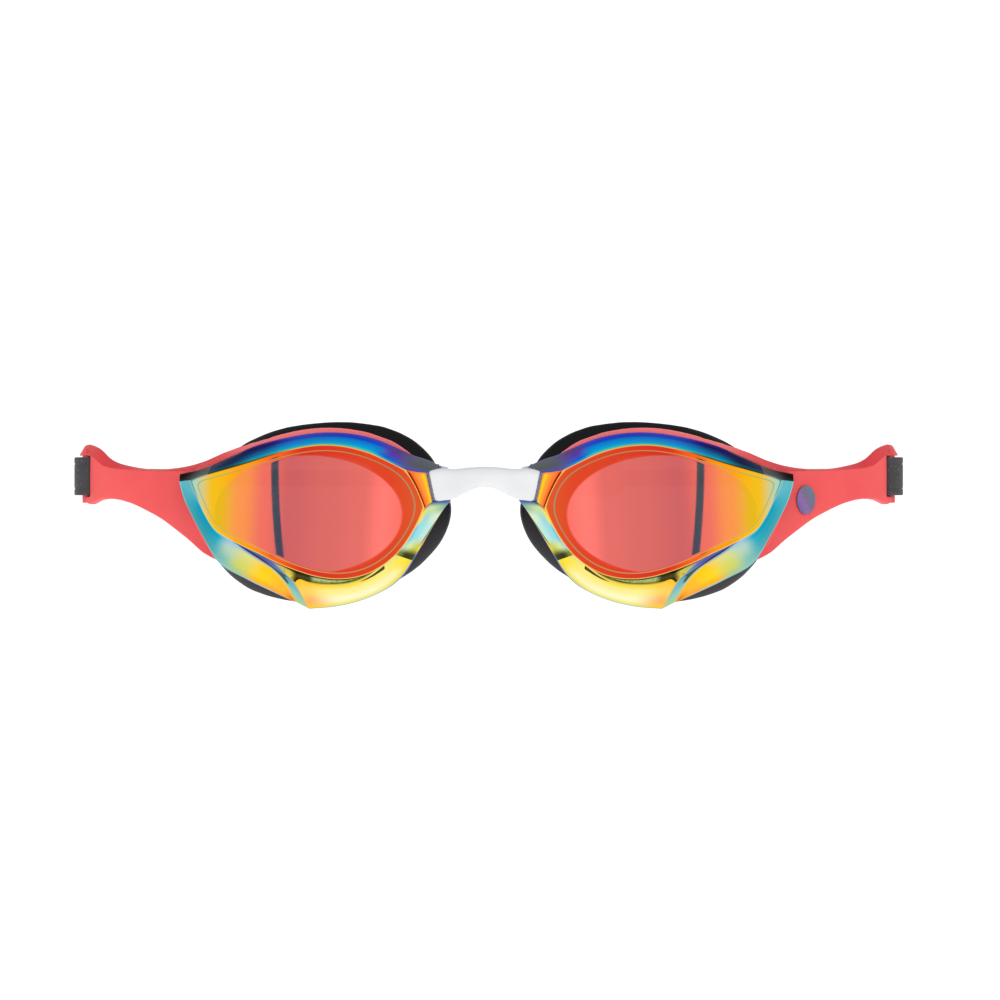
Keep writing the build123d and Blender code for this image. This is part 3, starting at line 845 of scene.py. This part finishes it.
def lens_body():
    """The faceted lens body: window, facets, edge wall and the lug behind the nose bridge."""
    bm = bmesh.new()
    window_panel(bm)
    panel(bm, NOSE_TOP + W_BROW[1:], S_BROW, POCKET_TOP[::-1], BROW_END, 1, 0.5)
    panel(bm, W_CORNER + CORNER_FOOT[1:], S_CORNER, BROW_END, CORNER_END, 2)
    panel(bm, W_TEMPLE + BAND_OUTER[1:], S_TEMPLE, CORNER_FOOT, FIN_TIP, 3, 0.5)
    panel(bm, BAND_OUTER, BAND_UPPER + BAND_LOWER[1:], W_BAND, S_BAND, 4)
    panel(bm, W_GROOVE, CHIN_TOP, BAND_UPPER, [W_GROOVE[-1]] * 15, 5, -0.9)
    panel(bm, CHIN_TOP + W_FOOT[1:], S_CHIN, BAND_LOWER, BREAK, 6, 0.5)
    panel(bm, W_CHEEK, S_CHEEK, BREAK, NOSE_FOOT + POCKET_FOOT[1:] + [POCKET_FOOT[-1]] * 4, 7, 0.3)
    panel(bm, W_NOSE, POCKET_SIDE, NOSE_FOOT, NOSE_TOP[::-1], 8)
    bmesh.ops.remove_doubles(bm, verts=bm.verts, dist=0.01)
    bmesh.ops.dissolve_degenerate(bm, edges=bm.edges, dist=0.005)
    open_edges = [e for e in bm.edges if e.is_boundary]
    wall = bmesh.ops.extrude_edge_only(bm, edges=open_edges)["geom"]
    for v in (g for g in wall if isinstance(g, bmesh.types.BMVert)):
        v.co.y = sweep_y(v.co.x, BACK_DEPTH)
    for face in (g for g in wall if isinstance(g, bmesh.types.BMFace)):
        face.material_index = 9
        face.smooth = True
    add_lug(bm)
    face_out(bm)
    middle = min(bm.faces, key=lambda f: (f.calc_center_median() - Vector((35, -12, 0))).length)
    if middle.normal.y > 0:
        bmesh.ops.reverse_faces(bm, faces=bm.faces)
    return bm


def make_lenses():
    finishes = [
        window_finish(), brow_finish(), corner_finish(), temple_finish(), band_finish(), groove_finish(),
        chin_finish(), cheek_finish(), nose_finish(), wall_finish(), lug_finish(), clear_finish(),
        smoke_finish(),
    ]
    for piece in pair("lens", lens_body(), finishes):
        add_modifier(
            piece, "SOLIDIFY", thickness=LENS_WALL * MM, offset=-1, material_offset=11,
            material_offset_rim=12, use_even_offset=False,
        )
        soften(piece, 0.16, 16)


# ---- gasket ----
GASKET_OUTLINE = [
    (6.9, -1.2), (8.4, -6.5), (12.2, -11.4), (19, -16.2), (26, -19), (34.5, -20.3), (43.4, -19.4),
    (50.2, -17), (55.6, -12.3), (58.8, -6.5), (59.8, 0.5), (57.4, 7.5), (51.5, 12.1), (44, 15.5),
    (35, 17), (26.4, 17), (20.3, 15.9), (15.2, 13.6), (11.2, 10), (8.4, 4.4),
]
RING_OUTLINE = [
    (10.4, -1.5), (12.2, -7.2), (17, -13), (24, -17.2), (33.5, -18.9), (42, -17.8), (50, -14.6),
    (56.2, -10.6), (60.3, -4), (61.4, 2), (60, 7.6), (55.6, 10.35), (51.8, 11.75), (46.3, 13.35),
    (40.6, 14.95), (34.5, 15.8), (29, 15.65), (23.2, 14.5), (17.6, 12.1), (13.2, 8.2),
]
APERTURE_OUTLINE = [
    (16.7, -2.4), (18.1, 2.6), (22.4, 7), (28, 9.6), (33.5, 10.35), (39.5, 9.7), (45.2, 8), (50.6, 5.2),
    (54, 1.4), (55.9, -2.4), (52.6, -7.2), (46.4, -10.9), (39.5, -13.1), (32, -13.8), (25, -12.4),
    (19.8, -8.4),
]
TURNS = 112  # steps round a gasket or frame loop
EYE_REACH = 26.0  # from the middle of the eye opening to the gasket's ends


def eye_loop(outline, depth, inset=0.0, hollow=0.0):
    """A loop round the eye opening, in even angles about its middle, on a swept plane."""
    chain = smooth_flat([(x - EYE[0], z - EYE[1]) for x, z in outline], 480, closed=True)
    polar = sorted((math.atan2(p.y, p.x), p.length) for p in chain[:-1])
    angles = [a for a, _ in polar]
    loop, k = [], 0
    for i in range(TURNS):
        angle = -math.pi + 2 * math.pi * (i + 0.5) / TURNS
        while k < len(angles) - 1 and angles[k] < angle:
            k += 1
        radius = polar[k][1] - inset
        x = EYE[0] + radius * math.cos(angle)
        z = EYE[1] + radius * math.sin(angle)
        across = (x - EYE[0]) / EYE_REACH
        loop.append(Vector((x, sweep_y(x, depth - hollow * (1 - across**2)), z)))
    return loop


GASKET_SECTION = [  # outline, depth, how far inside it, and hollow
    (RING_OUTLINE, FRAME_BACK, 1.0),
    (RING_OUTLINE, FRAME_BACK + 0.9, 1.3),
    (GASKET_OUTLINE, 13.6, 1.0, 0.6),
    (GASKET_OUTLINE, 15.0, 0.15, 1.4),
    (GASKET_OUTLINE, 16.2, 0.0, 2.0),
    (GASKET_OUTLINE, 17.0, 0.5, 2.4),
    (GASKET_OUTLINE, 17.4, 1.5, 2.5),
    (GASKET_OUTLINE, 17.3, 2.7, 2.5),
    (GASKET_OUTLINE, 16.7, 3.5, 2.3),
    (GASKET_OUTLINE, 15.6, 3.7, 1.6),
    (APERTURE_OUTLINE, 13.6, -1.6, 0.6),
    (APERTURE_OUTLINE, FRAME_BACK + 0.8, -0.4),
    (APERTURE_OUTLINE, FRAME_BACK, 0.0),
]


def make_gaskets():
    """Soft cups that flare from the frame to a rolled lip on the face."""
    bm = bmesh.new()
    hoop(bm, [eye_loop(*stop) for stop in GASKET_SECTION])
    face_out(bm)
    for piece in pair("gasket", bm, [gasket_finish()]):
        add_modifier(piece, "SUBSURF", levels=1, render_levels=1)


# ---- frame and side arm ----
ARM_PLAN = [(54.5, 7.95), (58, 9.4), (64, 12.2), (70, 15.2), (76, 19.2), (81, 24.1)]
ARM_TOP = [
    (54, 10.9), (58.3, 9.2), (61.4, 8.25), (65.8, 7.55), (70.3, 7.45), (74.7, 8.05), (78, 8.95),
    (79.8, 9.9), (81.4, 11.3), (82.8, 12.3), (84, 12.7), (84.55, 12.45), (84.86, 11.6),
]
ARM_LOW = [
    (54, -12.2), (58.5, -10), (61.4, -7.5), (64.5, -5.1), (67.5, -2.95), (70.5, -1.3), (74.2, 0.35),
    (77.6, 1.15), (80.4, 1.1), (82.6, 0.45), (84, 0.1), (84.55, 0.25), (84.86, 0.8),
]
ARM_CHAMFER = [(54, 1.5), (60, 1.1), (66, 0.5), (71, 0.35), (76, 0.8), (80.5, 1.7), (84.86, 1.6)]
ARM_END_RUN = Vector((math.cos(math.radians(62)), math.sin(math.radians(62)), 0))
STATIONS = 60
BAR_RADIUS = 1.25
BAR_LENGTH = 11.2
SLOT_BLOCK = (9.3, 12, 8.7)  # along the arm, through it, and up
SLOT_SHIFT = 1.35  # middle of the block past the bar's axis
LEAN_STATIONS = 9  # how many stations lean at the arm's end
BAR_LEAN = 0.27


def height_on(line, x):
    """The height of a front-view line at an X."""
    for (x0, z0), (x1, z1) in zip(line, line[1:]):
        if x <= x1:
            share = (x - x0) / (x1 - x0)
            return z0 + (z1 - z0) * share
    return line[-1][1]


def arm_outline(points):
    """A front-view line of the arm, smoothed, as X and Z pairs."""
    return [(p.x, p.y) for p in smooth_flat(points, 160)]


def arm_sections():
    """The arm's section at each station along its plan, from the lens to the strap bar."""
    finish = Vector((BAR.x, BAR.y, 0)) + ARM_END_RUN * 1.3
    path = smooth_line([Vector((x, y, 0)) for x, y in ARM_PLAN] + [finish], STATIONS)
    top, low, chamfer = arm_outline(ARM_TOP), arm_outline(ARM_LOW), arm_outline(ARM_CHAMFER)
    sections = []
    for i, at in enumerate(path):
        run = run_at(path, i)
        out = Vector((run.y, -run.x, 0))
        high, foot, cut = (height_on(line, at.x) for line in (top, low, chamfer))
        span = high - cut - foot
        profile = [
            (0.55, foot + 0.02), (0.95, foot + 0.22), (1.12, foot + 0.6), (1.17, foot + 0.25 * span),
            (1.2, foot + 0.5 * span), (1.17, foot + 0.78 * span), (1.13, high - cut - 0.12),
            (1, high - cut + 0.06),
            (-0.15, high - 0.06), (-0.5, high), (-0.95, high - 0.15), (-1.2, high - 0.55),
            (-1.2, foot + 0.5 * span),
            (-1.2, foot + 0.6), (-0.95, foot + 0.15), (-0.5, foot),
        ]
        lean = BAR_LEAN * max(0.0, 1 - (STATIONS - i) / LEAN_STATIONS)
        ring = []
        for n, z in profile:
            shift = lean * (z - BAR.z) * (1.3 if z < BAR.z else 1.0)
            ring.append(at + out * n + ARM_END_RUN * shift + Vector((0, 0, z)))
        sections.append(ring)
    return sections


def slot_cutter():
    """The block that leaves the strap slot between the arm and its end bar."""
    bm = bmesh.new()
    made = bmesh.ops.create_cube(bm, size=1)["verts"]
    run = ARM_END_RUN
    turn = Matrix((run, Vector((-run.y, run.x, 0)), Vector((0, 0, 1)))).transposed().to_4x4()
    bmesh.ops.scale(bm, vec=SLOT_BLOCK, verts=made)
    bmesh.ops.bevel(
        bm, geom=bm.edges, offset=0.35, offset_type="OFFSET", segments=2, profile=0.5, affect="EDGES",
        material=-1,
    )
    bmesh.ops.transform(bm, matrix=Matrix.Translation(BAR + run * SLOT_SHIFT) @ turn, verts=bm.verts)
    return bm


def cut_away(piece, cutter):
    """Cuts a hidden block out of a piece and keeps the result as its mesh."""
    mesh = bpy.data.meshes.new("cutter")
    bmesh.ops.scale(cutter, vec=(MM, MM, MM), verts=cutter.verts)
    cutter.to_mesh(mesh)
    cutter.free()
    block = put("cutter", mesh)
    add_modifier(piece, "BOOLEAN", operation="DIFFERENCE", solver="EXACT", object=block)
    graph = bpy.context.evaluated_depsgraph_get()
    result = bpy.data.meshes.new_from_object(piece.evaluated_get(graph))
    piece.modifiers.clear()
    piece.data = result
    bpy.data.objects.remove(block)


RING_SECTION = [  # outline, depth, and how far inside it
    (RING_OUTLINE, BACK_DEPTH - 0.6, 0.25),
    (RING_OUTLINE, BACK_DEPTH - 0.2, 0.0),
    (RING_OUTLINE, FRAME_BACK - 0.4, 0.0),
    (RING_OUTLINE, FRAME_BACK, 0.4),
    (APERTURE_OUTLINE, FRAME_BACK, -0.3),
    (APERTURE_OUTLINE, FRAME_BACK - 0.3, 0.0),
    (APERTURE_OUTLINE, BACK_DEPTH + 0.3, 0.0),
    (APERTURE_OUTLINE, BACK_DEPTH, -0.3),
    (RING_OUTLINE, BACK_DEPTH, 3.4),
    (RING_OUTLINE, BACK_DEPTH - 0.6, 3.0),
]


def make_frames():
    """Coral mouldings: the ring behind the lens, the side arm with its slot, and the strap bar."""
    ring = bmesh.new()
    hoop(ring, [eye_loop(*stop) for stop in RING_SECTION])
    face_out(ring)
    arm = bmesh.new()
    skin(arm, arm_sections())
    face_out(arm)
    bar = bmesh.new()
    bmesh.ops.create_cone(
        bar, cap_ends=True, segments=32, radius1=BAR_RADIUS, radius2=BAR_RADIUS, depth=BAR_LENGTH,
    )
    bmesh.ops.translate(bar, vec=BAR, verts=bar.verts)
    finish = coral_finish()
    for side in ("left", "right"):
        made = []
        for name, shape in (("ring", ring), ("arm", arm), ("bar", bar)):
            copy = shape.copy() if side == "left" else mirrored(shape)
            made.append(new_piece(
                f"{side}_frame_{name}", copy, [finish], f"{side}_eyepiece", [f"{side}_frame"],
            ))
        cutter = slot_cutter()
        cut_away(made[1], cutter if side == "left" else mirrored(cutter))
        soften(made[1], 0.12, 35)
        soften(made[2], 0.2, 35)
        for face in made[2].data.polygons:
            face.use_smooth = True
    for shape in (ring, arm, bar):
        shape.free()


# ---- nose bridge ----
BRIDGE_TOP = [(0, 7.8), (3.4, 7.6), (6.4, 7.32), (8.4, 7.45), (10.2, 7.2), (11.35, 6.85)]
BRIDGE_LOW = [(0, 3.7), (1.6, 3.45), (3.6, 2.62), (5.6, 1.62), (6.7, 1.12), (8.4, 0.9), (10.1, 0.62)]
BRIDGE_FRONT = [(0, -17), (4, -16.35), (7, -15.1), (11.35, -14.75)]
BRIDGE_STEPS = 26


def bridge_sections():
    """The bridge's section at each station of its half, from the middle to its end."""
    tops = smooth_flat(BRIDGE_TOP, BRIDGE_STEPS)
    lows = smooth_flat(BRIDGE_LOW, BRIDGE_STEPS)
    fronts = [(p.x, p.y) for p in smooth_flat(BRIDGE_FRONT, 80)]
    sections = []
    for high, low in zip(tops, lows):
        ring = []
        for depth, share in (
            (0.9, 0), (0.35, 0.07), (0.08, 0.2), (0, 0.34), (0, 0.6), (0.06, 0.85), (0.3, 0.96), (0.8, 1),
            (2.2, 1), (2.6, 0.95), (2.7, 0.8), (2.7, 0.2), (2.6, 0.05), (2.2, 0),
        ):
            x = low.x + (high.x - low.x) * share
            z = low.y + (high.y - low.y) * share
            ring.append(Vector((x, height_on(fronts, x) + depth, z)))
        sections.append(ring)
    return sections


def make_bridge():
    half = bridge_sections()
    other = [[Vector((-p.x, p.y, p.z)) for p in ring] for ring in half[:0:-1]]
    bm = bmesh.new()
    skin(bm, other + half)
    face_out(bm)
    crease(bm, 50)
    piece = new_piece(
        "nose_bridge_body", bm, [bridge_finish()], "nose_bridge", ["nose_bridge"],
    )
    soften(piece, 0.22, 40, 3)


# ---- strap ----
STRAP_HEIGHT = 8.0
STRAP_REAR_HEIGHT = 3.8
TAPER_START = 14.0  # where the strap starts to narrow, behind the bar
TAPER_RUN = 30.0
LAYING_RUN = 50.0  # from the bar to where the layers lie together
CLIP_X = 21.0  # middle of the clip
TAIL = 12.0  # strap past the middle of the clip
FOLD_RADIUS = 2.3
FOLD_STEPS = 20
LAYER_PITCH = 1.7
REAR_Y = 131.0
SHOULDER = Vector((BAR.x + 2.9, BAR.y + 56, 0))
REAR_CORNER = Vector((0.69 * BAR.x, REAR_Y, 0))


def rounded_route(points, radii, step=1.4):
    """Close points along straight runs that are joined by tangent arcs."""
    route = [points[0]]
    for before, corner, after, radius in zip(points, points[1:], points[2:], radii):
        inward, onward = (corner - before).normalized(), (after - corner).normalized()
        turn = inward.angle(onward)
        reach = radius * math.tan(turn / 2)
        start = corner - inward * reach
        centre = start + Vector((-inward.y, inward.x, 0)) * radius
        count = max(2, round(radius * turn / step))
        for i in range(count + 1):
            spin = Matrix.Rotation(turn * i / count, 3, "Z")
            route.append(centre + spin @ (start - centre))
    route.append(points[-1])
    chain = [a.lerp(b, i / 8) for a, b in zip(route, route[1:]) for i in range(8)] + [route[-1]]
    return evenly(chain, 150)


def strap_line(end_x):
    """The outermost strap layer's middle line from above, from the bar to the tail's end."""
    start = Vector((BAR.x + FOLD_RADIUS, BAR.y, 0))
    points = [start, SHOULDER, REAR_CORNER, Vector((end_x, REAR_Y, 0))]
    radii = []
    for before, corner, after in zip(points, points[1:], points[2:]):
        turn = (corner - before).angle(after - corner)
        radii.append(0.45 * min((corner - before).length, (after - corner).length) / math.tan(turn / 2))
    return rounded_route(points, radii)


def layer(line, at_bar, behind):
    """A strap layer that lies inside the outermost line by one distance at the bar and one behind."""
    moved = []
    for i, at in enumerate(line):
        run = run_at(line, i)
        share = min(1.0, (at - line[0]).length / LAYING_RUN)
        share = share * share * (3 - 2 * share)
        moved.append(at + Vector((-run.y, run.x, 0)) * (at_bar + (behind - at_bar) * share))
    return moved


def strap_height(y):
    """The strap narrows behind the arms."""
    share = min(1.0, max(0.0, (y - BAR.y - TAPER_START) / TAPER_RUN))
    return STRAP_HEIGHT + (STRAP_REAR_HEIGHT - STRAP_HEIGHT) * share


def strap_profile(height):
    """Half the strap's section from above: thickness out, height up, with two shallow ribs."""
    half = height / 2
    low = [
        (0.45, -half), (0.62, 0.1 - half), (0.65, 0.35 - half), (0.65, 1.15 - half), (0.56, 1.3 - half),
        (0.56, 1.55 - half), (0.65, 1.7 - half),
    ]
    side = low + [(n, -z) for n, z in low[::-1]]
    return side + [(-n, -z) for n, z in side]


def make_strap(side, first_layer, finish):
    """One strap half: in from the tail, round the bar and back to the tail as the next layer."""
    line = strap_line((CLIP_X if side == "left" else -CLIP_X) - TAIL)
    outer = layer(line, 0.0, first_layer * LAYER_PITCH)
    inner = layer(line, 2 * FOLD_RADIUS, (first_layer + 1) * LAYER_PITCH)
    hub = Vector((BAR.x, BAR.y, 0))
    turns = [Matrix.Rotation(-math.pi * i / FOLD_STEPS, 3, "Z") for i in range(1, FOLD_STEPS)]
    fold = [hub + turn @ Vector((FOLD_RADIUS, 0, 0)) for turn in turns]
    route = outer[::-1] + fold + inner
    sections = []
    for i, at in enumerate(route):
        run = run_at(route, i)
        out = Vector((-run.y, run.x, 0))
        profile = strap_profile(strap_height(at.y))
        sections.append([at + out * n + Vector((0, 0, BAR.z + z)) for n, z in profile])
    bm = bmesh.new()
    skin(bm, sections)
    face_out(bm)
    crease(bm, 40)
    if side == "right":
        twin = mirrored(bm)
        bm.free()
        bm = twin
    new_piece(f"{side}_strap_body", bm, [finish], f"{side}_strap", [f"{side}_strap"])


# ---- small CAD pieces that stay ----
def refinish(node, finish, width, degrees=30):
    """A better surface and softened edges on a CAD node that stays."""
    piece = frame["nodes"][node]
    piece.data.materials.clear()
    piece.data.materials.append(finish)
    add_modifier(piece, "WELD", merge_threshold=0.01 * MM)
    soften(piece, width, degrees)


# ---- studio ----
DISTANCE = 1.3  # camera to the lenses
FRAME_WIDTH = 0.205  # width of the picture at the lenses
TARGET = Vector((0.003, -0.005, 0.001))
AZIMUTH = math.radians(0.9)


def make_camera():
    camera = bpy.data.cameras.new("camera")
    camera.sensor_width = 36
    camera.lens = 36 * DISTANCE / FRAME_WIDTH
    camera.clip_start, camera.clip_end = 0.05, 20
    placed = put("camera", camera)
    back = Vector((math.sin(AZIMUTH), -math.cos(AZIMUTH), 0))
    placed.location = TARGET + back * DISTANCE
    placed.rotation_euler = (-back).to_track_quat("-Z", "Y").to_euler()
    bpy.context.scene.camera = placed


def stage_plane(name, size, matrix, material):
    """A flat square of the studio."""
    bm = bmesh.new()
    bmesh.ops.create_grid(bm, x_segments=1, y_segments=1, size=0.5)
    bmesh.ops.scale(bm, vec=(*size, 1), verts=bm.verts)
    bmesh.ops.transform(bm, matrix=matrix, verts=bm.verts)
    mesh = bpy.data.meshes.new(name)
    bm.to_mesh(mesh)
    bm.free()
    mesh.materials.append(material)
    placed = put(name, mesh)
    return placed


def card_finish():
    """A deep blue that the red mirror turns into a darker bar."""
    shade = Shade("dark_card")
    return shade.surface(
        Base_Color=(0.0, 0.0, 0.0, 1), Roughness=1.0, Specular_IOR_Level=0.0,
        Emission_Color=(0.04, 0.5, 0.9, 1), Emission_Strength=1.0,
    )


LIGHT_STRENGTH = 1.15
ZENITH = (0.55, 0.55, 0.56, 1)  # the white from straight above, dimmed


def make_world():
    """Even white light, dimmer from straight above."""
    world = bpy.data.worlds.new("studio")
    world.use_nodes = True
    tree = world.node_tree
    tree.nodes.clear()
    place = tree.nodes.new("ShaderNodeTexCoord").outputs["Generated"]
    split = tree.nodes.new("ShaderNodeSeparateXYZ")
    tree.links.new(place, split.inputs[0])
    ramp = tree.nodes.new("ShaderNodeValToRGB")
    ramp.color_ramp.elements[0].position = 0.35
    ramp.color_ramp.elements[0].color = (1, 1, 1, 1)
    ramp.color_ramp.elements[1].position = 0.95
    ramp.color_ramp.elements[1].color = ZENITH
    tree.links.new(split.outputs[2], ramp.inputs[0])
    light = tree.nodes.new("ShaderNodeBackground")
    tree.links.new(ramp.outputs[0], light.inputs["Color"])
    light.inputs["Strength"].default_value = LIGHT_STRENGTH
    end = tree.nodes.new("ShaderNodeOutputWorld")
    tree.links.new(light.outputs[0], end.inputs["Surface"])
    bpy.context.scene.world = world


CARD_AZIMUTH = 48.0  # degrees to each side of the front
CARD_DISTANCE = 1.2
CARD_SIZE = (0.06, 0.5)


def make_studio():
    """White surroundings, and two tall cards that show only as bars in the mirrors."""
    make_world()
    bpy.context.scene.view_settings.view_transform = "Standard"
    glow = card_finish()
    for side in (1, -1):
        turn = Matrix.Rotation(math.radians(CARD_AZIMUTH) * side, 4, "Z")
        stand = Matrix.Translation((0, -CARD_DISTANCE, 0)) @ Matrix.Rotation(math.radians(90), 4, "X")
        card = stage_plane(f"dark_card_{side + 2}", CARD_SIZE, turn @ stand, glow)
        card.visible_camera = False
        card.visible_diffuse = False
        card.visible_shadow = False


# ---- put together ----
make_camera()
make_studio()
make_lenses()
make_gaskets()
make_frames()
make_bridge()
strap_silicone = silicone_finish(
    "strap_silicone", (52, 52, 55), (60, 60, 63), 0.66, (104, 104, 108), 0.46, 0.03,
)
make_strap("left", 2, strap_silicone)
make_strap("right", 0, strap_silicone)
clip_plastic = silicone_finish("clip_plastic", (40, 40, 43), (48, 48, 52), 0.7, (64, 64, 68), 0.4, 0.02)
refinish("rear_clip_base", clip_plastic, 0.25)
refinish("rear_clip_cover", clip_plastic, 0.15)
refinish("arm_badge", badge_finish(), 0.18)
